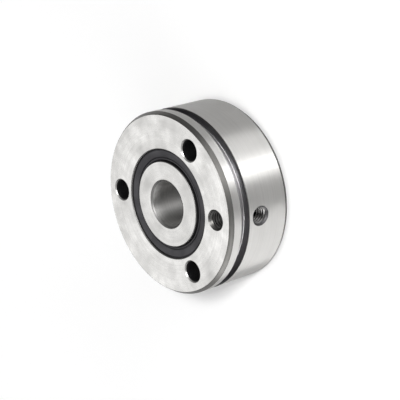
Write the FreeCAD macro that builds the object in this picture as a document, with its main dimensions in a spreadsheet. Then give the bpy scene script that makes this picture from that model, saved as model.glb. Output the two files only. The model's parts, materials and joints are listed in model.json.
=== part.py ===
import FreeCAD
import Part
import Sketcher
import math
import os
import re

# A screw-mounted thrust bearing with two rows of balls, in millimetres.
# Its axis is Z. It rests on its mounting face at Z = 0, the lubrication ports lie on the
# +X side, and every body is drawn about the bearing's centre, half its width up.

doc = FreeCAD.newDocument("ThrustBearing")

# Driving sizes. Each word is the name of one cell of the sheet.
SIZES = {
    # boundary
    "bore_diameter": 15,
    "outer_diameter": 60,
    "width": 25,
    # balls and raceways
    "ball_diameter": 6.35,
    "ball_count": 12,
    "pitch_diameter": 29.5,
    "row_spacing": 9,
    "contact_angle": 60,
    "raceway_relief": 0.19,
    "running_clearance": 0.03,
    "ball_reach_clearance": 0.075,
    "shoulder_offset": 0.75,
    # edges of the two rings
    "rim_chamfer_depth": 0.87,
    "rim_chamfer_length": 1.32,
    "seat_edge": 0.2,
    "bore_chamfer": 0.56,
    "shoulder_edge": 0.15,
    # extraction groove round the rim, its height taken from the mounting face
    "groove_height": 17.35,
    "groove_width": 3,
    "groove_depth": 2.4,
    "groove_edge": 0.22,
    # screw holes
    "bolt_circle_diameter": 46,
    "bolt_hole_diameter": 6.8,
    "bolt_hole_count": 3,
    "bolt_hole_chamfer": 0.35,
    # lubrication ports, drawn at the major diameter of their thread
    "port_diameter": 6,
    "port_countersink": 0.4,
    "port_depth": 8,
    "port_duct_diameter": 1.6,
    "drill_point_angle": 118,
    # seals, snapped into grooves of the outer ring
    "seal_recess": 0.45,
    "seal_edge": 0.55,
    "seal_dish": 0.35,
    "seal_thickness": 1.75,
    "snap_depth": 0.4,
    "snap_fit": 0.03,
    "lip_clearance": 0.03,
    "lip_edge": 0.25,
    "lip_land": 0.47,
    "lip_ridge": 0.25,
    "lip_groove_width": 0.3,
    "lip_groove_depth": 0.35,
    # cages
    "cage_clearance": 0.3,
    "cage_thickness": 2.8,
    "cage_flange": 2.05,
    "cage_half_width": 4.1,
    "pocket_clearance": 0.075,
}

sheet = doc.addObject("Spreadsheet::Sheet", "Sizes")
for row, (word, number) in enumerate(SIZES.items(), start=1):
    sheet.set(f"A{row}", word)
    sheet.set(f"B{row}", str(number))
    sheet.setAlias(f"B{row}", word)
doc.recompute()

# Expressions of those sizes that several pieces share.
HALF_WIDTH = "(width / 2)"
OUTER_RADIUS = "(outer_diameter / 2)"
BORE_RADIUS = "(bore_diameter / 2)"
BALL_RADIUS = "(ball_diameter / 2)"
PITCH_RADIUS = "(pitch_diameter / 2)"
ROW_HEIGHT = "(row_spacing / 2)"
BOLT_CIRCLE_RADIUS = "(bolt_circle_diameter / 2)"

# The balls just pass inside the outer ring's seat and just clear the inner ring's land.
# The high shoulders that carry the thrust stop short of the pitch circle.
SEAT_RADIUS = f"({PITCH_RADIUS} + {BALL_RADIUS} + ball_reach_clearance)"
LAND_RADIUS = f"({PITCH_RADIUS} - {BALL_RADIUS} - ball_reach_clearance)"
RIB_RADIUS = f"({PITCH_RADIUS} + shoulder_offset)"
SHOULDER_RADIUS = f"({PITCH_RADIUS} - shoulder_offset)"

# Each raceway is an arc a little larger than the ball, moved back along the contact line
# until the running clearance is left where the ball carries.
RACEWAY_RADIUS = f"({BALL_RADIUS} + raceway_relief)"
SHIFT_OUT = "((raceway_relief - running_clearance) * cos(contact_angle))"
SHIFT_UP = "((raceway_relief - running_clearance) * sin(contact_angle))"

SEAL_TOP = f"({HALF_WIDTH} - seal_recess)"
SEAL_BEAD = f"({SEAL_TOP} - seal_edge)"
SEAL_BACK = f"({SEAL_TOP} - seal_thickness)"

pieces = []


def bound(expression):
    """Return an expression with the word of each size pointing at its cell."""
    return re.sub(
        "[a-z_]+",
        lambda word: f"Sizes.{word[0]}" if word[0] in SIZES else word[0],
        expression,
    )


def amount(expression):
    """Return what an expression of sizes comes to."""
    return float(sheet.evalExpression(bound(expression)))


def new_body(label, upside_down=False):
    """Start a body at the bearing's centre, for one of the separate pieces."""
    body = doc.addObject("PartDesign::Body", label)
    body.Label = label
    turn = FreeCAD.Rotation(FreeCAD.Vector(1, 0, 0), 180 if upside_down else 0)
    body.Placement = FreeCAD.Placement(FreeCAD.Vector(0, 0, amount(HALF_WIDTH)), turn)
    body.setExpression("Placement.Base.z", bound(HALF_WIDTH))
    pieces.append(body)
    return body


def origin_part(body, role):
    """Return one of the body's own planes or axes."""
    return next(part for part in body.Origin.OriginFeatures if part.Role == role)


def new_sketch(body, name):
    """Start a sketch on the body's XZ plane: across is the radius and up is the axis."""
    sketch = body.newObject("Sketcher::SketchObject", name)
    sketch.AttachmentSupport = [(origin_part(body, "XZ_Plane"), "")]
    sketch.MapMode = "FlatFace"
    return sketch


def tie(sketch, kind, geometry, expression, *point):
    """Hold one size of the sketch to an expression."""
    where = [geometry, *point]
    index = sketch.addConstraint(Sketcher.Constraint(kind, *where, amount(expression)))
    sketch.setExpression(f"Constraints[{index}]", bound(expression))


def tie_point(sketch, geometry, end, across, up):
    """Hold one end of a line or arc to its two expressions."""
    tie(sketch, "DistanceX", geometry, across, end)
    tie(sketch, "DistanceY", geometry, up, end)


def spot(across, up):
    """Return the point of the sketch at two expressions."""
    return FreeCAD.Vector(amount(across), amount(up), 0)


def draw_arc(sketch, here, there, centre, radius):
    """Draw the arc between two points. Return it with its ends in walking order."""
    first = math.atan2(here.y - centre.y, here.x - centre.x)
    last = math.atan2(there.y - centre.y, there.x - centre.x)
    forward = (last - first) % (2 * math.pi) < math.pi
    if not forward:
        first, last = last, first
    circle = Part.Circle(centre, FreeCAD.Vector(0, 0, 1), amount(radius))
    arc = sketch.addGeometry(Part.ArcOfCircle(circle, first, last))
    tie(sketch, "Radius", arc, radius)
    return (arc, 1, 2) if forward else (arc, 2, 1)


def outline(sketch, corners):
    """Draw a closed outline through corners that are tied to their expressions.

    A corner is (across, up), or (across, up, centre_across, centre_up, radius) where
    the outline runs on to the next corner as an arc.
    """
    edges = []
    for corner, following in zip(corners, corners[1:] + corners[:1]):
        here = spot(*corner[:2])
        there = spot(*following[:2])
        if len(corner) == 2:
            edges.append((sketch.addGeometry(Part.LineSegment(here, there)), 1, 2))
        else:
            edges.append(draw_arc(sketch, here, there, spot(*corner[2:4]), corner[4]))
    for index, (geometry, start, _) in enumerate(edges):
        previous, _, end = edges[index - 1]
        sketch.addConstraint(
            Sketcher.Constraint("Coincident", previous, end, geometry, start)
        )
        tie_point(sketch, geometry, start, *corners[index][:2])


def turn(body, kind, sketch, axis="V_Axis"):
    """Turn a sketch through a full circle, to add material or to cut it."""
    feature = body.newObject(f"PartDesign::{kind}", f"{sketch.Label}_turned")
    feature.Profile = sketch
    feature.ReferenceAxis = (sketch, [axis])
    feature.Angle = 360
    sketch.Visibility = False
    return feature


def turned_hole(body, name, corners):
    """Cut a round hole: its outline's first side lies on the hole's own axis."""
    sketch = new_sketch(body, name)
    axis_ends = [spot(*corner) for corner in corners[:2]]
    axis = sketch.addGeometry(Part.LineSegment(*axis_ends), True)
    for end, corner in enumerate(corners[:2], start=1):
        tie_point(sketch, axis, end, *corner)
    outline(sketch, corners)
    return turn(body, "Groove", sketch, "Axis0")


def repeat_round(body, name, feature, count):
    """Repeat a feature round the bearing's axis."""
    pattern = body.newObject("PartDesign::PolarPattern", name)
    pattern.Originals = [feature]
    pattern.Axis = (origin_part(body, "Z_Axis"), [""])
    pattern.Angle = 360
    pattern.setExpression("Occurrences", bound(count))
    body.Tip = pattern


def arc_meets(centre_up, side, centre_across, across):
    """Return the height at which a raceway's arc crosses a radius, above or below."""
    return (
        f"({centre_up} {side} sqrt({RACEWAY_RADIUS}^2 - ({across} - {centre_across})^2))"
    )


def port_steps(mouth, *, duct_end):
    """Return a port's (along, radius) steps: countersink, thread, drill point and duct."""
    thread = "(port_diameter / 2)"
    duct = "(port_duct_diameter / 2)"
    thread_end = f"({mouth} - port_depth)"
    point = f"(({thread} - {duct}) / tan(drill_point_angle / 2))"
    return [
        (duct_end, "0"),
        (mouth, "0"),
        (mouth, f"{thread} + port_countersink"),
        (f"{mouth} - port_countersink", thread),
        (thread_end, thread),
        (f"{thread_end} - {point}", duct),
        (duct_end, duct),
    ]


def build_outer_ring():
    """Build the flanged ring: raceways on a middle rib, screw holes, groove and ports."""
    body = new_body("outer_ring")

    blank = new_sketch(body, "blank")
    outline(blank, [
        (RIB_RADIUS, f"-{HALF_WIDTH}"),
        (f"{OUTER_RADIUS} - rim_chamfer_depth", f"-{HALF_WIDTH}"),
        (OUTER_RADIUS, f"-{HALF_WIDTH} + rim_chamfer_length"),
        (OUTER_RADIUS, f"{HALF_WIDTH} - rim_chamfer_length"),
        (f"{OUTER_RADIUS} - rim_chamfer_depth", HALF_WIDTH),
        (RIB_RADIUS, HALF_WIDTH),
    ])
    turn(body, "Revolution", blank)

    # The front row's raceway opens into the seat's bore, and the rear row mirrors it.
    centre_across = f"({PITCH_RADIUS} - {SHIFT_OUT})"
    centre_up = f"({ROW_HEIGHT} + {SHIFT_UP})"
    seat_start = arc_meets(centre_up, "-", centre_across, SEAT_RADIUS)
    rib_start = arc_meets(centre_up, "-", centre_across, RIB_RADIUS)
    raceway = new_sketch(body, "raceway")
    outline(raceway, [
        (SEAT_RADIUS, seat_start, centre_across, centre_up, RACEWAY_RADIUS),
        (RIB_RADIUS, rib_start),
        (RIB_RADIUS, HALF_WIDTH),
        (f"{SEAT_RADIUS} + seat_edge", HALF_WIDTH),
        (SEAT_RADIUS, f"{HALF_WIDTH} - seat_edge"),
    ])
    raceway_cut = turn(body, "Groove", raceway)

    snap_groove = new_sketch(body, "snap_groove")
    outline(snap_groove, [
        (SEAT_RADIUS, f"{SEAL_BACK} - snap_fit"),
        (f"{SEAT_RADIUS} + snap_depth", f"{SEAL_BACK} - snap_fit"),
        (f"{SEAT_RADIUS} + snap_depth", f"{SEAL_BEAD} + snap_fit"),
        (SEAT_RADIUS, f"{SEAL_BEAD} + snap_fit"),
    ])
    snap_cut = turn(body, "Groove", snap_groove)
    mirror = body.newObject("PartDesign::Mirrored", "rear_row")
    mirror.Originals = [raceway_cut, snap_cut]
    mirror.MirrorPlane = (origin_part(body, "XY_Plane"), [""])
    body.Tip = mirror

    rear_wall = f"(groove_height - {HALF_WIDTH})"
    front_wall = f"({rear_wall} + groove_width)"
    groove = new_sketch(body, "extraction_groove")
    outline(groove, [
        (OUTER_RADIUS, f"{rear_wall} - groove_edge"),
        (f"{OUTER_RADIUS} - groove_edge", rear_wall),
        (f"{OUTER_RADIUS} - groove_depth", rear_wall),
        (f"{OUTER_RADIUS} - groove_depth", front_wall),
        (f"{OUTER_RADIUS} - groove_edge", front_wall),
        (OUTER_RADIUS, f"{front_wall} + groove_edge"),
    ])
    turn(body, "Groove", groove)

    port = port_steps(HALF_WIDTH, duct_end="0")
    turned_hole(body, "axial_port", [
        (f"{BOLT_CIRCLE_RADIUS} + {radius}", along) for along, radius in port
    ])
    turned_hole(body, "radial_port", port_steps(OUTER_RADIUS, duct_end=PITCH_RADIUS))

    # The first screw hole is opposite the ports, so that they sit between two others.
    hole_axis = f"-{BOLT_CIRCLE_RADIUS}"
    hole_wall = f"{hole_axis} + bolt_hole_diameter / 2"
    hole = turned_hole(body, "screw_hole", [
        (hole_axis, f"-{HALF_WIDTH}"),
        (hole_axis, HALF_WIDTH),
        (f"{hole_wall} + bolt_hole_chamfer", HALF_WIDTH),
        (hole_wall, f"{HALF_WIDTH} - bolt_hole_chamfer"),
        (hole_wall, f"-{HALF_WIDTH} + bolt_hole_chamfer"),
        (f"{hole_wall} + bolt_hole_chamfer", f"-{HALF_WIDTH}"),
    ])
    repeat_round(body, "screw_holes", hole, "bolt_hole_count")


def build_inner_half(label, upside_down):
    """Build half of the split inner ring, whose high shoulder is at the seal's end."""
    body = new_body(label, upside_down)
    centre_across = f"({PITCH_RADIUS} + {SHIFT_OUT})"
    centre_up = f"({ROW_HEIGHT} - {SHIFT_UP})"
    land_end = arc_meets(centre_up, "+", centre_across, LAND_RADIUS)
    shoulder_start = arc_meets(centre_up, "+", centre_across, SHOULDER_RADIUS)
    section = new_sketch(body, f"{label}_section")
    outline(section, [
        (BORE_RADIUS, "bore_chamfer"),
        (f"{BORE_RADIUS} + bore_chamfer", "0"),
        (LAND_RADIUS, "0"),
        (LAND_RADIUS, land_end, centre_across, centre_up, RACEWAY_RADIUS),
        (SHOULDER_RADIUS, shoulder_start),
        (SHOULDER_RADIUS, f"{HALF_WIDTH} - shoulder_edge"),
        (f"{SHOULDER_RADIUS} - shoulder_edge", HALF_WIDTH),
        (f"{BORE_RADIUS} + bore_chamfer", HALF_WIDTH),
        (BORE_RADIUS, f"{HALF_WIDTH} - bore_chamfer"),
    ])
    turn(body, "Revolution", section)


def build_seal(label, upside_down):
    """Build a seal: a bead in the snap groove and a lip close to the inner ring."""
    body = new_body(label, upside_down)
    lip = f"({SHOULDER_RADIUS} + lip_clearance)"
    ridge_inside = f"({lip} + lip_land)"
    ridge_outside = f"({ridge_inside} + lip_ridge)"
    groove_outside = f"({ridge_outside} + lip_groove_width)"
    dish = f"({SEAL_TOP} - seal_dish)"
    groove_floor = f"({dish} - lip_groove_depth)"
    bead_outside = f"({SEAT_RADIUS} + snap_depth - snap_fit)"
    section = new_sketch(body, f"{label}_section")
    outline(section, [
        (f"{SEAT_RADIUS} - seal_edge", SEAL_TOP),
        (f"{SEAT_RADIUS} - snap_fit", SEAL_BEAD),
        (bead_outside, SEAL_BEAD),
        (bead_outside, SEAL_BACK),
        (ridge_inside, SEAL_BACK),
        (lip, f"{SEAL_BACK} + lip_edge"),
        (lip, f"{SEAL_BACK} + 2 * lip_edge"),
        (ridge_inside, groove_floor),
        (ridge_inside, dish),
        (ridge_outside, dish),
        (ridge_outside, groove_floor),
        (groove_outside, groove_floor),
        (groove_outside, dish),
    ])
    turn(body, "Revolution", section)


def build_cage(label, upside_down):
    """Build a cage: a slanted band with a flange at each edge and a pocket per ball."""
    body = new_body(label, upside_down)
    inside = f"({LAND_RADIUS} + cage_clearance)"
    outside = f"({SEAT_RADIUS} - cage_clearance)"
    lower_step = f"({inside} + cage_flange)"
    upper_step = f"({outside} - cage_flange)"
    bottom = f"({ROW_HEIGHT} - cage_half_width)"
    top = f"({ROW_HEIGHT} + cage_half_width)"

    def band_edge(across, side):
        """Return the band's height at a radius: it lies square to the contact line."""
        rise = f"({across} - {PITCH_RADIUS}) * cos(contact_angle)"
        return f"({ROW_HEIGHT} + ({rise} {side} cage_thickness / 2) / sin(contact_angle))"

    section = new_sketch(body, f"{label}_section")
    outline(section, [
        (inside, bottom),
        (lower_step, bottom),
        (lower_step, band_edge(lower_step, "-")),
        (outside, band_edge(outside, "-")),
        (outside, top),
        (upper_step, top),
        (upper_step, band_edge(upper_step, "+")),
        (inside, band_edge(inside, "+")),
    ])
    turn(body, "Revolution", section)

    # Each pocket is drilled along the contact line, right through both flanges' edges.
    reach = f"({BALL_RADIUS} + cage_clearance)"
    wide = f"({BALL_RADIUS} + pocket_clearance)"

    def pocket_corner(along, beside):
        """Return a point so far along the contact line and so far beside it."""
        across = f"{along} * cos(contact_angle) + {beside} * sin(contact_angle)"
        up = f"{beside} * cos(contact_angle) - {along} * sin(contact_angle)"
        return f"{PITCH_RADIUS} + {across}", f"{ROW_HEIGHT} + {up}"

    pocket = turned_hole(body, f"{label}_pocket", [
        pocket_corner(f"-{reach}", "0"),
        pocket_corner(reach, "0"),
        pocket_corner(reach, wide),
        pocket_corner(f"-{reach}", wide),
    ])
    repeat_round(body, f"{label}_pockets", pocket, "ball_count")


def build_ball(label, number, side):
    """Build one ball in its pocket, on the row above or below the bearing's centre."""
    ball = doc.addObject("Part::Sphere", label)
    ball.Label = label
    bearing = f"({number} * 360 / ball_count)"
    ball.setExpression("Radius", bound(BALL_RADIUS))
    ball.setExpression("Placement.Base.x", bound(f"{PITCH_RADIUS} * cos({bearing})"))
    ball.setExpression("Placement.Base.y", bound(f"{PITCH_RADIUS} * sin({bearing})"))
    ball.setExpression("Placement.Base.z", bound(f"{HALF_WIDTH} {side} {ROW_HEIGHT}"))
    pieces.append(ball)


build_outer_ring()
for end, upside_down, side in (("front", False, "+"), ("rear", True, "-")):
    build_inner_half(f"{end}_inner_ring", upside_down)
    build_seal(f"{end}_seal", upside_down)
    build_cage(f"{end}_cage", upside_down)
    for number in range(int(amount("ball_count"))):
        build_ball(f"{end}_ball_{number + 1:02d}", number, side)
doc.recompute()

failed = [
    item.Label for item in doc.Objects if {"Invalid", "Error"} & set(item.State)
]
unsound = [
    piece.Label for piece in pieces if piece.Shape.isNull() or not piece.Shape.isValid()
]
if failed or unsound:
    raise RuntimeError(f"failed features: {failed}, unsound pieces: {unsound}")

os.makedirs("parts", exist_ok=True)
for piece in pieces:
    piece.Shape.exportStep(f"parts/{piece.Label}.step")
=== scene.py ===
# %% [markdown]
# A screw-mounted thrust bearing: a wide outer ring bolted to a machine's wall, a split inner
# ring clamped on a shaft, two rows of balls between them and a lip seal in each face. The
# construction comes from the imported CAD model. This script dresses it: it turns the rings and
# the seals again with finer edges and real threads, and gives each surface the finish that
# grinding, hardening or moulding left on it. Chamfers, groove, holes and threads are also
# painted darker, as painted shade and painted dark reflections.

import json
import math

import bmesh
import bpy
from mathutils import Matrix, Vector


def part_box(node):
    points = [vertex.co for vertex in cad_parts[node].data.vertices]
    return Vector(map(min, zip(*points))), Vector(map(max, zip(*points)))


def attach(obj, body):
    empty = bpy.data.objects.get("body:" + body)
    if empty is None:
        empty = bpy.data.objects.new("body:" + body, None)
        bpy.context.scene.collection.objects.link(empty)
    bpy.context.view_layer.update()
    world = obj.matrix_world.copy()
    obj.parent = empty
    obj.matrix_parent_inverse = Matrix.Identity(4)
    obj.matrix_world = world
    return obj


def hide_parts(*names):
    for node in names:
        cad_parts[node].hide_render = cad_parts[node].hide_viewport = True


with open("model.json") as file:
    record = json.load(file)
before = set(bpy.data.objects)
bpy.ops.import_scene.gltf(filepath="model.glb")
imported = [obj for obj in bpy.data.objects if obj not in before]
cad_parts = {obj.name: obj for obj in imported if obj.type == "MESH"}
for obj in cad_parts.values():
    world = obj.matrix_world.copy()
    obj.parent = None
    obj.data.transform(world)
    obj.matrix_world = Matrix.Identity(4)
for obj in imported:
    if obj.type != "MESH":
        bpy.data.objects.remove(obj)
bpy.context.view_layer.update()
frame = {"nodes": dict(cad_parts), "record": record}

# %% [markdown]
# Sizes are easier to read in millimetres, while Blender works in metres, so every outline is
# written in millimetres and scaled once. The main sizes come from the frame: the ring's box
# and the mounts that the record states. The small ones are edge breaks and lips.

# %% Main sizes
MM = 0.001
mounts = {mount["name"]: mount for mount in frame["record"]["mounts"]}
low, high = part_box("outer_ring")
RIM = (high.x - low.x) / 2 / MM
WIDTH = (high.z - low.z) / MM
MIDDLE = WIDTH / 2
BORE = mounts["shaft_bore"]["dims"]["r_mm"]
HOLE_CIRCLE = mounts["screw_circle"]["dims"]["pcd_mm"] / 2
HOLE = mounts["screw_circle"]["dims"]["hole_r_mm"]
HOLE_COUNT = mounts["screw_circle"]["dims"]["count"]
PORT = mounts["axial_port"]["dims"]["r_mm"]
print(f"rim {RIM:.2f}, bore {BORE:.2f}, width {WIDTH:.2f} mm")

# %% [markdown]
# A bearing ring is turned on a lathe, and so is its mesh here. A closed outline of radius and
# height is drawn once, a vertex bevel rounds its corners, and a full spin makes the ring. A
# Screw modifier could do the same, but the operator leaves a plain mesh that drills can cut.
# The spin has so many steps that the bright rim shows no flats.

# %% Turn an outline into a ring
RING_STEPS = 480
MERGE = 1e-3
SHARP_ANGLE = 7


def spin_round(shape, steps, *, angle=2 * math.pi, rise=0.0):
    """Spin everything in a bmesh about Z, rising evenly where it makes a screw."""
    bmesh.ops.spin(
        shape, geom=list(shape.verts) + list(shape.edges), cent=(0, 0, 0), axis=(0, 0, 1),
        dvec=(0, 0, rise), angle=angle, steps=steps, use_merge=not rise,
        use_duplicate=False,
    )
    bmesh.ops.remove_doubles(shape, verts=list(shape.verts), dist=MERGE)


def smooth_by_angle(mesh, sharp):
    """Shade smooth, with a hard edge where two faces meet at more than the angle."""
    mesh.polygons.foreach_set("use_smooth", [True] * len(mesh.polygons))
    mesh.set_sharp_from_angle(angle=math.radians(sharp))


def finish_object(name, shape, sharp=SHARP_ANGLE):
    """Point a bmesh's faces outwards, scale it to metres and make it an object."""
    bmesh.ops.recalc_face_normals(shape, faces=list(shape.faces))
    bmesh.ops.scale(shape, vec=(MM, MM, MM), verts=list(shape.verts))
    mesh = bpy.data.meshes.new(name)
    shape.to_mesh(mesh)
    shape.free()
    piece = bpy.data.objects.new(name, mesh)
    bpy.context.scene.collection.objects.link(piece)
    smooth_by_angle(mesh, sharp)
    print(name, len(mesh.polygons), "faces")
    return piece


def turned_ring(name, corners, *, segments=2, sharp=SHARP_ANGLE):
    """Turn a ring from (radius, height, rounding) corners of its closed outline."""
    shape = bmesh.new()
    verts = [shape.verts.new((radius, 0, height)) for radius, height, _ in corners]
    shape.faces.new(verts)
    for vert, (_, _, rounding) in zip(verts, corners):
        if rounding:
            bmesh.ops.bevel(
                shape, geom=[vert], offset=rounding, offset_type="OFFSET",
                affect="VERTICES", segments=segments, profile=0.5, material=-1,
            )
    bmesh.ops.delete(shape, geom=list(shape.faces), context="FACES_ONLY")
    spin_round(shape, RING_STEPS)
    return finish_object(name, shape, sharp)


def upside_down(corners):
    """Turn an outline about the bearing's middle, for the same form at its other end."""
    return [(radius, WIDTH - height, rounding) for radius, height, rounding in corners[::-1]]


# %% [markdown]
# The raceways are arcs a little larger than the ball, moved back along the contact line. They
# are hidden behind the seals, but the rings keep them, so that each piece is the real one when
# it is taken out of the bearing.

# %% Raceway arcs
BALL = 6.35 / 2
PITCH_CIRCLE = 29.5 / 2
ROW = MIDDLE + 4.5
CONTACT = math.radians(60)
RACEWAY = BALL + 0.19
BACK = 0.16
ARC_STEPS = 10
print(f"raceway radius {RACEWAY:.3f} mm for a ball of {BALL:.3f} mm")


def raceway(side, start_radius, end_radius):
    """Return a raceway's corners between two radii: side +1 is outside the balls."""
    across = PITCH_CIRCLE - side * BACK * math.cos(CONTACT)
    up = ROW + side * BACK * math.sin(CONTACT)
    first = math.acos((start_radius - across) / RACEWAY)
    last = math.acos((end_radius - across) / RACEWAY)
    turns = [first + (last - first) * i / ARC_STEPS for i in range(ARC_STEPS + 1)]
    return [
        (across + RACEWAY * math.cos(a), up - side * RACEWAY * math.sin(a), 0)
        for a in turns
    ]


# %% [markdown]
# The outer ring is one hardened piece. Its outline runs up the rim over the two chamfers and
# the narrow groove for a puller, then back down inside over the seal seats, the raceways and
# the rib between them. The corners are broken by about a tenth of a millimetre, because an
# edge without a break catches no light and looks drawn. The groove's are crisper, and the one
# between the rim and the rear chamfer is fuller. Each seal snaps into the recess of its seat.

# %% The outer ring's blank
BREAK = 0.1
CHAMFER_DEPTH = 0.87
CHAMFER_LENGTH = 1.32
GROOVE_LOW = 17.25
GROOVE_HIGH = GROOVE_LOW + 3.2
GROOVE_FLOOR = RIM - 2.4
GROOVE_EDGE = 0.12
GROOVE_BREAK = 0.03
GROOVE_FILLET = 0.15
REAR_BREAK = 0.2
BALL_CLEARANCE = 0.075
SEAT = PITCH_CIRCLE + BALL + BALL_CLEARANCE
SEAT_EDGE = 0.2
SEAT_BREAK = 0.05
RECESS = 0.4
RECESS_TOP = WIDTH - 0.97
RECESS_BOTTOM = WIDTH - 2.23
TRACK_EDGE = 0.75
RIB = PITCH_CIRCLE + TRACK_EDGE

rim_corners = [
    (RIM - CHAMFER_DEPTH, 0, BREAK),
    (RIM, CHAMFER_LENGTH, REAR_BREAK),
    (RIM, GROOVE_LOW - GROOVE_EDGE, GROOVE_BREAK),
    (RIM - GROOVE_EDGE, GROOVE_LOW, GROOVE_BREAK),
    (GROOVE_FLOOR, GROOVE_LOW, GROOVE_FILLET),
    (GROOVE_FLOOR, GROOVE_HIGH, GROOVE_FILLET),
    (RIM - GROOVE_EDGE, GROOVE_HIGH, GROOVE_BREAK),
    (RIM, GROOVE_HIGH + GROOVE_EDGE, GROOVE_BREAK),
    (RIM, WIDTH - CHAMFER_LENGTH, BREAK),
    (RIM - CHAMFER_DEPTH, WIDTH, BREAK),
]
seat_corners = [
    (SEAT + SEAT_EDGE, WIDTH, SEAT_BREAK),
    (SEAT, WIDTH - SEAT_EDGE, SEAT_BREAK),
    (SEAT, RECESS_TOP, 0),
    (SEAT + RECESS, RECESS_TOP, 0),
    (SEAT + RECESS, RECESS_BOTTOM, 0),
    (SEAT, RECESS_BOTTOM, 0),
    *raceway(1, SEAT, RIB),
]
outer_ring = turned_ring(
    "outer_ring_dressed", rim_corners + seat_corners + upside_down(seat_corners)
)

# %% [markdown]
# Holes are cut by booleans, as drills cut them in steel. Each drill is itself a turned shape
# whose outline starts and ends on its own axis, with a flare that leaves the chamfer at the
# mouth. The exact solver is used, because it keeps the ring's flat face flat round the holes.

# %% Drills for the screw holes
DRILL_STEPS = 72
OVERSHOOT = 1.0
HOLE_CHAMFER = 0.35
FIRST_HOLE = 60


def drill(name, steps_along, place):
    """Turn a drill from (radius, height) steps that start and end on its axis."""
    shape = bmesh.new()
    verts = [shape.verts.new((radius, 0, height)) for radius, height in steps_along]
    for a, b in zip(verts, verts[1:]):
        shape.edges.new((a, b))
    spin_round(shape, DRILL_STEPS)
    bmesh.ops.transform(shape, matrix=place, verts=list(shape.verts))
    return finish_object(name, shape)


wide = HOLE + HOLE_CHAMFER + OVERSHOOT
screw_hole = [
    (0, -OVERSHOOT),
    (wide, -OVERSHOOT),
    (HOLE, HOLE_CHAMFER),
    (HOLE, WIDTH - HOLE_CHAMFER),
    (wide, WIDTH + OVERSHOOT),
    (0, WIDTH + OVERSHOOT),
]
hole_spots = []
drills = []
for number in range(HOLE_COUNT):
    angle = FIRST_HOLE + number * 360 / HOLE_COUNT
    turn = Matrix.Rotation(math.radians(angle), 4, "Z")
    spot = turn @ Vector((HOLE_CIRCLE, 0, 0))
    hole_spots.append(spot)
    drills.append(drill(f"screw_drill_{number + 1}", screw_hole, Matrix.Translation(spot)))

# %% [markdown]
# The two lubrication ports have M6 threads. One pitch of the thread's section, spun while it
# rises by a pitch each turn, makes the flanks of a tap, because each turn joins the one before
# it. Both ends of such a spin slant, so two cuts square to the axis, a turn and a half in from
# each end, make them flat. Ridges modelled like this catch the light at the mouth as real ones
# do, which a bump pattern can't.

# %% Taps for the threaded ports
THREAD_PITCH = 1.0
MINOR = 2.46
THREAD_STEPS = 60
HALF_FLANK_ANGLE = 30
END_TURNS = 1.5
FLANK = (PORT - MINOR) * math.tan(math.radians(HALF_FLANK_ANGLE))
CREST = (THREAD_PITCH - 2 * FLANK) / 2
thread_section = [
    (MINOR, 0),
    (MINOR, CREST),
    (PORT, CREST + FLANK),
    (PORT, THREAD_PITCH - FLANK),
    (MINOR, THREAD_PITCH),
]


def tap(name, length, place):
    """Make a threaded plug from z = 0 up to its length, then move it to its place."""
    turns = math.ceil(length / THREAD_PITCH + 2 * END_TURNS)
    shape = bmesh.new()
    verts = [shape.verts.new((radius, 0, height)) for radius, height in thread_section]
    for a, b in zip(verts, verts[1:]):
        shape.edges.new((a, b))
    spin_round(
        shape, turns * THREAD_STEPS, angle=2 * math.pi * turns,
        rise=THREAD_PITCH / THREAD_STEPS,
    )
    bottom = END_TURNS * THREAD_PITCH
    for height, outwards in ((bottom, -1), (bottom + length, 1)):
        bmesh.ops.bisect_plane(
            shape, geom=list(shape.verts) + list(shape.edges) + list(shape.faces),
            plane_co=(0, 0, height), plane_no=(0, 0, outwards), clear_outer=True,
            dist=1e-5,
        )
    open_edges = [edge for edge in shape.edges if edge.is_boundary]
    bmesh.ops.holes_fill(shape, edges=open_edges, sides=0)
    bmesh.ops.translate(shape, vec=(0, 0, -bottom), verts=list(shape.verts))
    bmesh.ops.transform(shape, matrix=place, verts=list(shape.verts))
    left_open = sum(1 for edge in shape.edges if edge.is_boundary)
    print(name, "open edges", left_open)
    return finish_object(name, shape)


# %% [markdown]
# A port is made in three steps, as in a workshop: a drill with a blunt point and a thin duct
# beyond it, a tap for the thread, and a countersink that gives the mouth its lead-in. The duct
# leads the grease to the room between the two rows of balls.

# %% Drills for the ports
COUNTERSINK = 0.4
PORT_DEPTH = 8.0
DUCT = 0.8
DRILL_POINT = 118
OVERLAP = 0.02
POINT = (MINOR - DUCT) / math.tan(math.radians(DRILL_POINT / 2))


def port_drills(name, mouth, duct_end, place):
    """Return a port's countersink, tap and point with the duct, from its mouth inwards."""
    sink_end = mouth - COUNTERSINK - (PORT - MINOR)
    floor = mouth - PORT_DEPTH
    sink = [
        (0, sink_end),
        (MINOR, sink_end),
        (PORT + COUNTERSINK + OVERSHOOT, mouth + OVERSHOOT),
        (0, mouth + OVERSHOOT),
    ]
    point = [
        (0, duct_end),
        (DUCT, duct_end),
        (DUCT, floor - POINT),
        (MINOR, floor + OVERLAP),
        (0, floor + OVERLAP),
    ]
    return [
        drill(f"{name}_countersink", sink, place),
        tap(f"{name}_tap", PORT_DEPTH + OVERSHOOT, place @ Matrix.Translation((0, 0, floor))),
        drill(f"{name}_point", point, place),
    ]


axial_place = Matrix.Translation((HOLE_CIRCLE, 0, 0))
radial_place = Matrix.Translation((0, 0, MIDDLE)) @ Matrix.Rotation(math.pi / 2, 4, "Y")
drills += port_drills("axial_port", WIDTH, MIDDLE, axial_place)
drills += port_drills("radial_port", RIM, PITCH_CIRCLE, radial_place)

# %% [markdown]
# Where two cuts cross, a boolean leaves points that almost coincide. A weld at a tenth of a
# micrometre joins them and drops the faces that have no area left, so that the ring's mesh is
# closed and clean. A wider weld would eat into the thread's narrow ends.

# %% Cut all the holes
WELD = 1e-4 * MM


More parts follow.
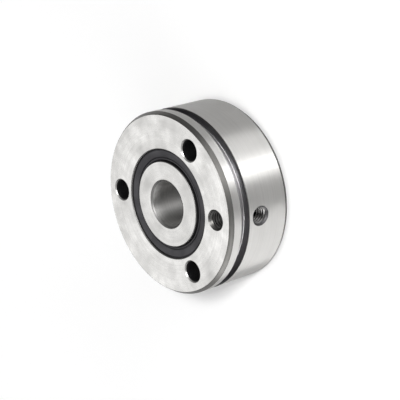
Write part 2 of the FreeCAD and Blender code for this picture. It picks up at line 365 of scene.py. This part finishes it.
def weld(mesh):
    """Join the points that a boolean left on top of each other."""
    shape = bmesh.new()
    shape.from_mesh(mesh)
    bmesh.ops.remove_doubles(shape, verts=list(shape.verts), dist=WELD)
    bmesh.ops.dissolve_degenerate(shape, edges=list(shape.edges), dist=WELD)
    print("edges without two faces", sum(1 for edge in shape.edges if not edge.is_manifold))
    shape.to_mesh(mesh)
    shape.free()


def cut(piece, tools):
    """Cut the tools out of a piece, keep the result as its mesh and drop the tools."""
    for tool in tools:
        modifier = piece.modifiers.new(tool.name, "BOOLEAN")
        modifier.operation = "DIFFERENCE"
        modifier.solver = "EXACT"
        modifier.object = tool
    solid = piece.evaluated_get(bpy.context.evaluated_depsgraph_get())
    mesh = bpy.data.meshes.new_from_object(solid)
    weld(mesh)
    piece.modifiers.clear()
    piece.data = mesh
    for tool in tools:
        bpy.data.objects.remove(tool)
    smooth_by_angle(mesh, SHARP_ANGLE)
    print(piece.name, "after cutting", len(mesh.polygons), "faces")


cut(outer_ring, drills)
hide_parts("outer_ring")
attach(outer_ring, "outer")

# %% [markdown]
# The inner ring is split in two halves, which a lock nut presses together on the shaft. Both
# are ground on the end, in the bore and on the raceway. Where they meet inside the bore, their
# two small chamfers leave the thin dark line that the photograph shows as a crescent. The rear
# half is the front one turned over, so one outline serves both.

# %% Both halves of the inner ring
LAND = PITCH_CIRCLE - BALL - BALL_CLEARANCE
SHOULDER = PITCH_CIRCLE - TRACK_EDGE
SHOULDER_EDGE = 0.15
SHOULDER_BREAK = 0.04
BORE_CHAMFER = 0.56
BORE_BREAK = 0.06

front_half = [
    (BORE, MIDDLE + BORE_CHAMFER, BORE_BREAK),
    (BORE + BORE_CHAMFER, MIDDLE, 0),
    (LAND, MIDDLE, 0),
    *raceway(-1, LAND, SHOULDER),
    (SHOULDER, WIDTH - SHOULDER_EDGE, SHOULDER_BREAK),
    (SHOULDER - SHOULDER_EDGE, WIDTH, SHOULDER_BREAK),
    (BORE + BORE_CHAMFER, WIDTH, BORE_BREAK),
    (BORE, WIDTH - BORE_CHAMFER, BORE_BREAK),
]
for end, corners in (("front", front_half), ("rear", upside_down(front_half))):
    half = turned_ring(f"{end}_inner_half_dressed", corners)
    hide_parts(f"{end}_inner_ring")
    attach(half, "inner")

# %% [markdown]
# A seal is moulded rubber: a bead snaps into the recess of the outer ring's seat, and a thin
# lip reaches for the inner ring. Moulded corners are round, never sharp, so they are rounded in
# more steps than the steel's and shaded smooth over them. The narrow groove beside the lip lets
# it flex, and it draws a dark circle on the seal's face.

# %% Both seals
SEAL_FACE = WIDTH - 0.45
SEAL_BACK = SEAL_FACE - 1.75
FACE_EDGE = SEAT - 0.55
STEP_ROOT = SEAT - 0.40
STEP_FLOOR = SEAL_FACE - 0.55
BEAD_ROOT = SEAT - 0.03
BEAD = SEAT + 0.37
BEAD_TOP = SEAL_FACE - 0.75
DISH = SEAL_FACE - 0.35
LIP_ROOT = SHOULDER + 0.5
LIP_TIP = SHOULDER + 0.03
LIP_LOW = SEAL_BACK + 0.25
LIP_HIGH = SEAL_BACK + 0.5
LIP_NECK = DISH - 0.35
FLEX_INSIDE = SHOULDER + 0.85
FLEX_OUTSIDE = SHOULDER + 1.30
FLEX_FLOOR = DISH - 0.80
TIGHT, ROUND, SOFT, FULL = 0.05, 0.08, 0.1, 0.12

front_seal = [
    (FACE_EDGE, SEAL_FACE, FULL),
    (STEP_ROOT, STEP_FLOOR, TIGHT),
    (BEAD_ROOT, BEAD_TOP, TIGHT),
    (BEAD, BEAD_TOP, ROUND),
    (BEAD, SEAL_BACK, ROUND),
    (LIP_ROOT, SEAL_BACK, SOFT),
    (LIP_TIP, LIP_LOW, TIGHT),
    (LIP_TIP, LIP_HIGH, TIGHT),
    (LIP_ROOT, LIP_NECK, TIGHT),
    (LIP_ROOT, DISH, ROUND),
    (FLEX_INSIDE, DISH, ROUND),
    (FLEX_INSIDE, FLEX_FLOOR, ROUND),
    (FLEX_OUTSIDE, FLEX_FLOOR, ROUND),
    (FLEX_OUTSIDE, DISH, SOFT),
]
SEAL_SHARP_ANGLE = 35
for end, corners in (("front", front_seal), ("rear", upside_down(front_seal))):
    seal = turned_ring(f"{end}_seal_dressed", corners, segments=3, sharp=SEAL_SHARP_ANGLE)
    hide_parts(f"{end}_seal")
    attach(seal, "outer")

# %% [markdown]
# Materials come next. A material is a small graph of nodes. One function adds a node with its
# settings and links, and another turns the hex colours that painters use into the linear
# numbers that the renderer needs.

# %% Helpers for materials
def linear(hex_colour):
    """Turn an sRGB hex colour into linear RGBA."""
    channels = [int(hex_colour[i:i + 2], 16) / 255 for i in (1, 3, 5)]
    return tuple(
        c / 12.92 if c <= 0.04045 else ((c + 0.055) / 1.055) ** 2.4 for c in channels
    ) + (1.0,)


def add_node(tree, kind, settings=None, **sockets):
    """Add a node, set its properties, and fill its sockets with values or links."""
    node = tree.nodes.new(kind)
    for key, value in (settings or {}).items():
        setattr(node, key, value)
    for key, value in sockets.items():
        name = key.replace("_", " ")
        socket = node.inputs[int(key[1:])] if key[1:].isdigit() else node.inputs[name]
        if isinstance(value, bpy.types.NodeSocket):
            tree.links.new(value, socket)
        else:
            socket.default_value = value
    return node


def new_material(name):
    """Start a material and return it with its tree and its Principled shader."""
    material = bpy.data.materials.new(name)
    material.use_nodes = True
    tree = material.node_tree
    return material, tree, tree.nodes["Principled BSDF"]


# %% [markdown]
# Everything that turns in a lathe or on a grinding spindle carries its marks in circles about
# one axis. A noise that reads only the radius and the height gives just that: circles on a
# flat face and rings on a rim. A little of the plain position is mixed in, so that the lines
# begin and end. Real grinding marks are about 0.02 mm apart, too fine to show, so they are
# drawn about ten times as coarse.

# %% Marks of turning and grinding
LINES_PER_UNIT = 2


def lathe_marks(tree, spacing_mm, wander=0.02):
    """Return noise along the circles about Z, with lines so many millimetres apart."""
    place = add_node(tree, "ShaderNodeTexCoord").outputs["Object"]
    apart = add_node(tree, "ShaderNodeSeparateXYZ", Vector=place)
    flat = add_node(tree, "ShaderNodeCombineXYZ", X=apart.outputs["X"], Y=apart.outputs["Y"])
    radius = add_node(
        tree, "ShaderNodeVectorMath", {"operation": "LENGTH"}, _0=flat.outputs[0]
    )
    circles = add_node(
        tree, "ShaderNodeCombineXYZ", X=radius.outputs["Value"], Z=apart.outputs["Z"]
    )
    mixed = add_node(
        tree, "ShaderNodeVectorMath", {"operation": "MULTIPLY_ADD"},
        _0=place, _1=(wander, wander, 0), _2=circles.outputs[0],
    )
    noise = add_node(
        tree, "ShaderNodeTexNoise", Vector=mixed.outputs[0],
        Scale=1 / (spacing_mm * LINES_PER_UNIT * MM), Detail=3.0, Roughness=0.6,
    )
    return noise.outputs["Fac"]


# %% [markdown]
# Every steel finish here is the same metal with other marks, so one function makes them all
# from a light and a dark tone, a roughness and the size of the marks. Broad clouds mixed with
# the marks keep a face from looking printed. Anisotropy stretches reflections across the marks
# where a grinding wheel left them: its tangent runs round the axis and is turned by a quarter.

# %% Bearing steel
NOISE_LOW = 0.3
NOISE_HIGH = 0.7


def bearing_steel(name, *, colour, dark, rough, rough_spread, spacing_mm, depth_mm,
                  cloud_mm, cloud=0.5, wander=0.02, across=0.0):
    """Make hardened bearing steel whose circular marks spread light across themselves."""
    material, tree, shader = new_material(name)
    marks = lathe_marks(tree, spacing_mm, wander)
    place = add_node(tree, "ShaderNodeTexCoord").outputs["Object"]
    clouds = add_node(
        tree, "ShaderNodeTexNoise", Vector=place, Scale=1 / (cloud_mm * MM), Detail=4.0,
        Roughness=0.55,
    )
    blend = add_node(
        tree, "ShaderNodeMix", {"data_type": "FLOAT"}, _0=cloud, _2=marks,
        _3=clouds.outputs["Fac"],
    )
    tint = add_node(tree, "ShaderNodeValToRGB", Fac=blend.outputs[0])
    tint.color_ramp.elements[0].position = NOISE_LOW
    tint.color_ramp.elements[0].color = linear(dark)
    tint.color_ramp.elements[1].position = NOISE_HIGH
    tint.color_ramp.elements[1].color = linear(colour)
    gloss = add_node(
        tree, "ShaderNodeMapRange", Value=blend.outputs[0], From_Min=NOISE_LOW,
        From_Max=NOISE_HIGH, To_Min=rough + rough_spread, To_Max=rough - rough_spread,
    )
    bump = add_node(
        tree, "ShaderNodeBump", Height=marks, Strength=1.0, Distance=depth_mm * MM
    )
    shader.inputs["Metallic"].default_value = 1.0
    if across:
        around = add_node(
            tree, "ShaderNodeVectorMath", {"operation": "CROSS_PRODUCT"}, _0=(0, 0, 1), _1=place
        )
        marks_way = add_node(
            tree, "ShaderNodeVectorTransform",
            {"vector_type": "VECTOR", "convert_from": "OBJECT", "convert_to": "WORLD"},
            Vector=around.outputs[0],
        )
        shader.inputs["Anisotropic"].default_value = across
        shader.inputs["Anisotropic Rotation"].default_value = 0.25
        tree.links.new(marks_way.outputs[0], shader.inputs["Tangent"])
    tree.links.new(tint.outputs["Color"], shader.inputs["Base Color"])
    tree.links.new(gloss.outputs["Result"], shader.inputs["Roughness"])
    tree.links.new(bump.outputs["Normal"], shader.inputs["Normal"])
    return material


# %% [markdown]
# Bearing steel is a chrome steel, hardened and then ground where it works. A wheel leaves fine
# marks all one way, and such marks spread a reflection across themselves: that is why the rim
# draws long bands of light along the axis. The flat ends are ground too, but their marks cross,
# so they only look satin.

# %% Finishes of the ground steel
# The end face is satin and a little cloudy, as a rotary table leaves it.
ground_face = bearing_steel(
    "ground_bearing_steel_face", colour="#DBDAD8", dark="#B8B7B5", rough=0.27,
    rough_spread=0.07, spacing_mm=0.25, depth_mm=0.0004, cloud_mm=7, cloud=0.75,
)
# The inner ring's end is ground the same way and looks a shade calmer and darker.
ground_inner_face = bearing_steel(
    "ground_bearing_steel_inner_face", colour="#D2D1CF", dark="#B6B5B3", rough=0.27,
    rough_spread=0.05, spacing_mm=0.25, depth_mm=0.0004, cloud_mm=6, cloud=0.7,
)
# The rim stretches each reflection into a band with soft ends.
ground_rim = bearing_steel(
    "ground_bearing_steel_rim", colour="#CAC9C7", dark="#BFBEBC", rough=0.46,
    rough_spread=0.03, spacing_mm=0.25, depth_mm=0.0003, cloud_mm=9, cloud=0.4, across=1.0,
)
# The bore does so too, more softly, because it is ground with a small wheel.
ground_bore = bearing_steel(
    "ground_bearing_steel_bore", colour="#CBCAC8", dark="#B3B2B1", rough=0.50,
    rough_spread=0.05, spacing_mm=0.2, depth_mm=0.0006, cloud_mm=5, cloud=0.4, across=0.75,
)

print("ground finishes", sum("ground" in material.name for material in bpy.data.materials))

# %% [markdown]
# What nobody grinds stays as the lathe, the drill and the furnace left it: chamfers, groove and
# holes are duller than the ground faces. They are also painted darker, as painted shade and
# painted dark reflections, and that is what outlines them. The threads and the shoulders beside
# the lips are painted darker still, as the shade in them.

# %% Finishes of the turned and drilled steel
# The front chamfer is turned, not ground, and its colour is painted darker as a painted dark
# reflection, so it frames the bright face with a dull grey band. The axial port's lead-in gets
# the same paint.
turned_face_painted_dark = bearing_steel(
    "turned_steel_painted_dark", colour="#6B6A68", dark="#565553", rough=0.40,
    rough_spread=0.05, spacing_mm=0.2, depth_mm=0.001, cloud_mm=5, cloud=0.4,
)
# Painted dark reflection: the rear chamfer is painted nearly black, as if it mirrored a dark
# room, and it outlines the ring with a thin line.
rear_chamfer_painted_dark = bearing_steel(
    "rear_chamfer_steel_painted_dark", colour="#4A4948", dark="#343332", rough=0.42,
    rough_spread=0.05, spacing_mm=0.2, depth_mm=0.001, cloud_mm=4, cloud=0.5,
)
# The screw holes' chamfers are cut last, so they are clean and catch a small bright crescent.
countersunk = bearing_steel(
    "countersunk_steel_edge", colour="#C6C5C3", dark="#ADACAA", rough=0.36,
    rough_spread=0.05, spacing_mm=0.2, depth_mm=0.001, cloud_mm=5, cloud=0.4,
)
# The groove's floor shows as a light line between two walls that are painted dark as painted
# shade.
turned_groove = bearing_steel(
    "turned_steel_groove_floor", colour="#DAD9D9", dark="#B9B8B9", rough=0.38,
    rough_spread=0.05, spacing_mm=0.2, depth_mm=0.002, cloud_mm=5, cloud=0.4,
)
# Painted shade: the groove's walls are painted dark grey, as the shade inside the groove.
groove_wall_painted_shade = bearing_steel(
    "groove_wall_steel_painted_shade", colour="#7C7B7D", dark="#5C5B5E", rough=0.36,
    rough_spread=0.06, spacing_mm=0.2, depth_mm=0.002, cloud_mm=4, cloud=0.4,
)
# A drill leaves the roughest wall, and its colour is painted dark as painted shade, so it looks
# nearly black inside a deep hole.
hole_wall_painted_shade = bearing_steel(
    "drilled_steel_painted_shade", colour="#7E7D7E", dark="#4C4B4D", rough=0.42,
    rough_spread=0.08, spacing_mm=0.25, depth_mm=0.004, cloud_mm=4, cloud=0.5,
)
# Paler flanks between flats painted near black make a thread readable even when it is small:
# the flanks are painted as the lit side of each ridge and the flats as painted shade.
thread_flank_painted_lit = bearing_steel(
    "flank_steel_painted_lit", colour="#8E8D8C", dark="#605F5E", rough=0.32,
    rough_spread=0.05, spacing_mm=0.2, depth_mm=0.0, cloud_mm=3, cloud=0.6,
)
flat_of_thread_painted_shade = bearing_steel(
    "flat_steel_painted_shade", colour="#1E1D1E", dark="#151515", rough=0.45,
    rough_spread=0.05, spacing_mm=0.2, depth_mm=0.0, cloud_mm=3, cloud=0.6,
)
# Painted shade: the shoulder beside a lip is painted dark, so the gap there reads as dark, and
# the radial port's lead-in gets the same paint.
shoulder_and_port_painted_shade = bearing_steel(
    "shoulder_and_port_steel_painted_shade", colour="#5E5D5E", dark="#444344", rough=0.50,
    rough_spread=0.05, spacing_mm=0.2, depth_mm=0.0005, cloud_mm=4, cloud=0.4,
)
# Painted shade: the seats' ends beside the seals and the inner ring's sloped faces, such as the
# bore's chamfers, are painted a darker grey.
seat_and_chamfer_painted_shade = bearing_steel(
    "seat_and_chamfer_steel_painted_shade", colour="#8F8E8D", dark="#737271", rough=0.50,
    rough_spread=0.05, spacing_mm=0.2, depth_mm=0.0005, cloud_mm=4, cloud=0.4,
)
print("steel finishes", sum("steel" in material.name for material in bpy.data.materials))

# %% [markdown]
# One mesh can carry several finishes, because each of its faces points at one of its material
# slots. A face of the ring is sorted by where its middle lies and which way it faces, which is
# how a machinist would name it too: on the rim, in the groove, in a hole, on the end.

# %% Sort the outer ring's faces
NEAR = 0.01
REACH = 0.1
FLAT = 0.999
SIDEWAYS = 0.98
WALL_SLOPE = 0.5
LEAD_IN_SLOPE = math.cos(math.radians(45))
SLOPE_SLACK = 0.05
FLANK_START = MINOR + 0.04
FLANK_END = PORT - 0.05
RADIAL_MOUTH = PORT + COUNTERSINK + 0.02
SEAL_ZONE = 2.5


def near_axis(point, spot, reach):
    """Say whether a point lies within a hole's reach of its upright axis."""
    return math.hypot(point.x - spot.x, point.y - spot.y) < reach


def on_end(point, normal):
    """Say whether a face lies flat on one of the bearing's two ends."""
    return abs(normal.z) > FLAT and min(point.z, WIDTH - point.z) < NEAR


def thread_finish(off_axis, slope, lead_in):
    """Name the finish of a port's face: its lead-in, or flanks painted as lit between flats
    painted as shade.
    """
    if abs(slope - LEAD_IN_SLOPE) < SLOPE_SLACK or off_axis > PORT + NEAR:
        return lead_in
    return thread_flank_painted_lit if FLANK_START < off_axis < FLANK_END else flat_of_thread_painted_shade


def outer_ring_finish(point, normal):
    """Name the finish of a face of the outer ring from its middle, in millimetres."""
    radius = math.hypot(point.x, point.y)
    if on_end(point, normal):
        return ground_face
    if any(near_axis(point, spot, HOLE + NEAR) for spot in hole_spots):
        # Painted shade inside the screw holes.
        return hole_wall_painted_shade
    if any(near_axis(point, spot, HOLE + HOLE_CHAMFER + REACH) for spot in hole_spots):
        return countersunk
    if near_axis(point, Vector((HOLE_CIRCLE, 0)), PORT + COUNTERSINK + REACH):
        off_port = math.hypot(point.x - HOLE_CIRCLE, point.y)
        # Painted dark reflection: the axial port's lead-in takes the front chamfer's darker
        # paint.
        return thread_finish(off_port, abs(normal.z), turned_face_painted_dark)
    off_port = math.hypot(point.y, point.z - MIDDLE)
    if point.x > RIB and off_port < RADIAL_MOUTH and abs(normal.x) < SIDEWAYS:
        # Painted shade at the radial port's mouth and in its thread.
        return thread_finish(off_port, abs(normal.x), shoulder_and_port_painted_shade)
    if abs(normal.z) < NEAR and radius > RIM - NEAR:
        return ground_rim
    if radius > GROOVE_FLOOR - REACH and GROOVE_LOW - NEAR < point.z < GROOVE_HIGH + NEAR:
        # Painted shade on the groove's walls, none on its floor.
        return groove_wall_painted_shade if abs(normal.z) > WALL_SLOPE else turned_groove
    if radius > RIM - CHAMFER_DEPTH - BREAK:
        # Painted dark reflections: the front chamfer is painted dark grey, the rear one nearly
        # black.
        return turned_face_painted_dark if point.z > MIDDLE else rear_chamfer_painted_dark
    if radius < SEAT + RECESS + REACH:
        inside = SEAL_ZONE < point.z < WIDTH - SEAL_ZONE
        return ground_bore if inside else seat_and_chamfer_painted_shade
    return turned_face_painted_dark


# %% [markdown]
# The inner ring needs only three questions: is the face flat on an end, does it slope, and is
# it in the bore. Each finish that turns up gets one material slot of the mesh, in the order in
# which it is met.

# %% Give the steel its finishes
def inner_half_finish(point, normal):
    """Name the finish of a face of the inner ring from its middle, in millimetres."""
    if on_end(point, normal):
        return ground_inner_face
    if abs(normal.z) > NEAR:
        # Painted shade on the inner ring's sloped faces.
        return seat_and_chamfer_painted_shade
    # Painted shade: the inner ring's wall beside the lip is painted dark.
    return ground_bore if math.hypot(point.x, point.y) < LAND - NEAR else shoulder_and_port_painted_shade


def give_finishes(piece, finish_of):
    """Sort a piece's faces by their finish and give each its material."""
    finishes = []
    for polygon in piece.data.polygons:
        finish = finish_of(polygon.center / MM, polygon.normal)
        if finish not in finishes:
            finishes.append(finish)
            piece.data.materials.append(finish)
        polygon.material_index = finishes.index(finish)
    print(piece.name, [finish.name for finish in finishes])


outer_ring.data.materials.clear()
give_finishes(outer_ring, outer_ring_finish)
for end in ("front", "rear"):
    give_finishes(bpy.data.objects[f"{end}_inner_half_dressed"], inner_half_finish)

# %% [markdown]
# The seals are nitrile rubber filled with carbon black. Moulding leaves it matt, with a dim
# sheen that comes from the polished mould, and a fine grain. Its black is a very dark grey,
# and the light that falls across the flat part lifts it.

# %% Nitrile rubber
GRAIN_MM = 0.4
FILM_MM = 5
MOULD_LOW = 0.35
MOULD_HIGH = 0.65


def nitrile_rubber():
    """Make black moulded rubber with a fine grain and slightly uneven gloss."""
    material, tree, shader = new_material("moulded_nitrile_rubber")
    place = add_node(tree, "ShaderNodeTexCoord").outputs["Object"]
    grain = add_node(
        tree, "ShaderNodeTexNoise", Vector=place, Scale=1 / (GRAIN_MM * MM), Detail=3.0
    )
    film = add_node(
        tree, "ShaderNodeTexNoise", Vector=place, Scale=1 / (FILM_MM * MM), Detail=2.0
    )
    tint = add_node(tree, "ShaderNodeValToRGB", Fac=film.outputs["Fac"])
    tint.color_ramp.elements[0].position = MOULD_LOW
    tint.color_ramp.elements[0].color = linear("#343336")
    tint.color_ramp.elements[1].position = MOULD_HIGH
    tint.color_ramp.elements[1].color = linear("#403F42")
    gloss = add_node(
        tree, "ShaderNodeMapRange", Value=film.outputs["Fac"], From_Min=MOULD_LOW,
        From_Max=MOULD_HIGH, To_Min=0.76, To_Max=0.66,
    )
    bump = add_node(
        tree, "ShaderNodeBump", Height=grain.outputs["Fac"], Strength=0.4,
        Distance=0.01 * MM,
    )
    shader.inputs["IOR"].default_value = 1.52
    tree.links.new(tint.outputs["Color"], shader.inputs["Base Color"])
    tree.links.new(gloss.outputs["Result"], shader.inputs["Roughness"])
    tree.links.new(bump.outputs["Normal"], shader.inputs["Normal"])
    return material


rubber = nitrile_rubber()
for end in ("front", "rear"):
    bpy.data.objects[f"{end}_seal_dressed"].data.materials.append(rubber)
print(rubber.name, "on both seals")

# %% [markdown]
# The cages and the balls run hidden behind the seals, and their CAD shapes are already right,
# so they stay and only get materials. Cages of this kind are moulded from nylon with glass
# fibre, which is cream-coloured and satin. The balls are the same steel as the rings, lapped
# until they shine.

# %% Cages and balls
FLOW_MM = 2


def glass_filled_nylon():
    """Make cream moulded nylon with the faint flow marks of its fibres."""
    material, tree, shader = new_material("glass_filled_nylon")
    place = add_node(tree, "ShaderNodeTexCoord").outputs["Object"]
    flow = add_node(
        tree, "ShaderNodeTexNoise", Vector=place, Scale=1 / (FLOW_MM * MM), Detail=5.0,
        Distortion=1.0,
    )
    tint = add_node(tree, "ShaderNodeValToRGB", Fac=flow.outputs["Fac"])
    tint.color_ramp.elements[0].position = MOULD_LOW
    tint.color_ramp.elements[0].color = linear("#D6CBAE")
    tint.color_ramp.elements[1].position = MOULD_HIGH
    tint.color_ramp.elements[1].color = linear("#E4DABF")
    bump = add_node(
        tree, "ShaderNodeBump", Height=flow.outputs["Fac"], Strength=0.3,
        Distance=0.01 * MM,
    )
    shader.inputs["Roughness"].default_value = 0.45
    shader.inputs["IOR"].default_value = 1.53
    tree.links.new(tint.outputs["Color"], shader.inputs["Base Color"])
    tree.links.new(bump.outputs["Normal"], shader.inputs["Normal"])
    return material


lapped_ball = bearing_steel(
    "lapped_steel_ball", colour="#EAE9E8", dark="#DFDEDD", rough=0.06,
    rough_spread=0.02, spacing_mm=0.3, depth_mm=0.0001, cloud_mm=2, cloud=0.9, wander=1.0,
)
nylon = glass_filled_nylon()
for name, node in frame["nodes"].items():
    if "ball" in name or "cage" in name:
        for material_slot in node.material_slots:
            material_slot.material = lapped_ball if "ball" in name else nylon
print("CAD pieces kept", sum("ball" in n or "cage" in n for n in frame["nodes"]))

# %% [markdown]
# The camera stands where the photograph was taken, found by fitting the bearing's circles to
# it: 0.4 m away with a long lens, above and beside the ports. Three vectors give it: where it
# is, which way it looks, and which way is up in the picture. The picture is rolled, because the
# bearing was photographed with its axis lying across the frame.

# %% Camera
EYE = Vector((0.28705, 0.12077, 0.26334))
LOOK = Vector((-0.71495, -0.30544, -0.62893))
UP = Vector((-0.21040, 0.95182, -0.22307))
lens_data = bpy.data.cameras.new("photo_camera")
lens_data.lens = 110.38
lens_data.sensor_width = 36
camera = bpy.data.objects.new("photo_camera", lens_data)
bpy.context.scene.collection.objects.link(camera)
back = -LOOK.normalized()
right = UP.cross(back).normalized()
camera.matrix_world = Matrix.Translation(EYE) @ Matrix(
    (right, back.cross(right), back)
).transposed().to_4x4()
bpy.context.scene.camera = camera
camera_azimuth = math.degrees(math.atan2(back.y, back.x))
print(f"camera at azimuth {camera_azimuth:.1f} degrees from +X")

# %% [markdown]
# Steel shows what stands round it, so the studio is kept plain: a dim room, a sheet of white
# paper, and softboxes that the steel really mirrors. The world has one colour and is the same
# for every ray, so the room itself lights nothing by a trick.

# %% The room
ROOM_TONE = 0.10
world = bpy.data.worlds.new("even_room")
bpy.context.scene.world = world
world.use_nodes = True
room_light = world.node_tree.nodes["Background"]
room_light.inputs["Color"].default_value = (ROOM_TONE, ROOM_TONE, ROOM_TONE, 1)
room_light.inputs["Strength"].default_value = 1.0
print("room tone", ROOM_TONE)

# %% [markdown]
# The floor is white paper. A little light of its own keeps it white in the picture. That lift
# is given to the camera's rays and also to the rays that steel and glass send back, so the
# bearing mirrors the same white floor that the camera sees, with the same shadow on it.

# %% The paper floor
FLOOR_RADIUS = 8.0
FLOOR_LIFT = 0.03
floor_shape = bmesh.new()
bmesh.ops.create_circle(floor_shape, cap_ends=True, segments=96, radius=FLOOR_RADIUS)
floor_mesh = bpy.data.meshes.new("paper_floor")
floor_shape.to_mesh(floor_mesh)
floor_shape.free()
floor = bpy.data.objects.new("paper_floor", floor_mesh)
bpy.context.scene.collection.objects.link(floor)

paper, tree, shader = new_material("white_paper")
shader.inputs["Base Color"].default_value = linear("#FAFAFA")
shader.inputs["Roughness"].default_value = 1.0
shader.inputs["Specular IOR Level"].default_value = 0.0
ray = add_node(tree, "ShaderNodeLightPath")
straight_or_mirrored = add_node(
    tree, "ShaderNodeMath", {"operation": "MAXIMUM"}, _0=ray.outputs["Is Camera Ray"],
    _1=ray.outputs["Is Glossy Ray"],
)
seen_by = add_node(
    tree, "ShaderNodeMath", {"operation": "MAXIMUM"}, _0=straight_or_mirrored.outputs[0],
    _1=ray.outputs["Is Transmission Ray"],
)
lift = add_node(
    tree, "ShaderNodeMath", {"operation": "MULTIPLY"}, _0=seen_by.outputs[0], _1=FLOOR_LIFT
)
shader.inputs["Emission Color"].default_value = (1, 1, 1, 1)
tree.links.new(lift.outputs[0], shader.inputs["Emission Strength"])
floor.data.materials.append(paper)
print(f"paper floor {2 * FLOOR_RADIUS:.0f} m wide, lift {FLOOR_LIFT}")

# %% [markdown]
# The key box stands where the shadow on the paper points back to. A box behind the ring is
# what the flat face mirrors, and a wide pale ceiling gives that face the same calm tone from
# every other side. Two low boxes light the rim, and the gap between them leaves a darker
# strip on it. Each box is given by the tone that its cloth shows, because that is what appears
# in the steel. The camera doesn't see the boxes, but the steel does. Together they light a
# grey card on the paper to about the grey that it was painted.

# %% The softboxes
def softbox(name, azimuth, elevation, distance, width, height, tone):
    """Hang a softbox that faces the bearing, with angles in degrees and sizes in metres."""
    lamp_data = bpy.data.lights.new(name, "AREA")
    lamp_data.shape = "RECTANGLE"
    lamp_data.size = width
    lamp_data.size_y = height
    lamp_data.energy = tone * math.pi * width * height
    lamp = bpy.data.objects.new(name, lamp_data)
    bpy.context.scene.collection.objects.link(lamp)
    turn, climb = math.radians(azimuth), math.radians(elevation)
    place = distance * Vector(
        (math.cos(climb) * math.cos(turn), math.cos(climb) * math.sin(turn), math.sin(climb))
    )
    lamp.matrix_world = Matrix.Translation(place) @ (
        place.to_track_quat("Z", "Y").to_matrix().to_4x4()
    )
    lamp.visible_camera = False
    print(f"{name}: tone {tone}, {lamp_data.energy:.2f} W")


softbox(
    "key_box", azimuth=37.6, elevation=45.5, distance=5.4, width=0.86, height=0.86, tone=80.0
)
softbox(
    "back_box", azimuth=camera_azimuth + 180, elevation=40, distance=3.6,
    width=2.80, height=2.00, tone=0.94,
)
softbox(
    "ceiling_box", azimuth=0, elevation=90, distance=2.7, width=9.00, height=9.00, tone=0.36
)
softbox(
    "low_right_box", azimuth=camera_azimuth + 25, elevation=9, distance=1.8,
    width=1.85, height=0.48, tone=6.0,
)
softbox(
    "low_left_box", azimuth=camera_azimuth - 72, elevation=9, distance=1.8,
    width=2.60, height=0.48, tone=6.2,
)

# %% [markdown]
# The view is left plain, so that a colour comes out as it was written. The dressed model must
# not be larger than the CAD model.

# %% Finish
bpy.context.scene.view_settings.view_transform = "Standard"
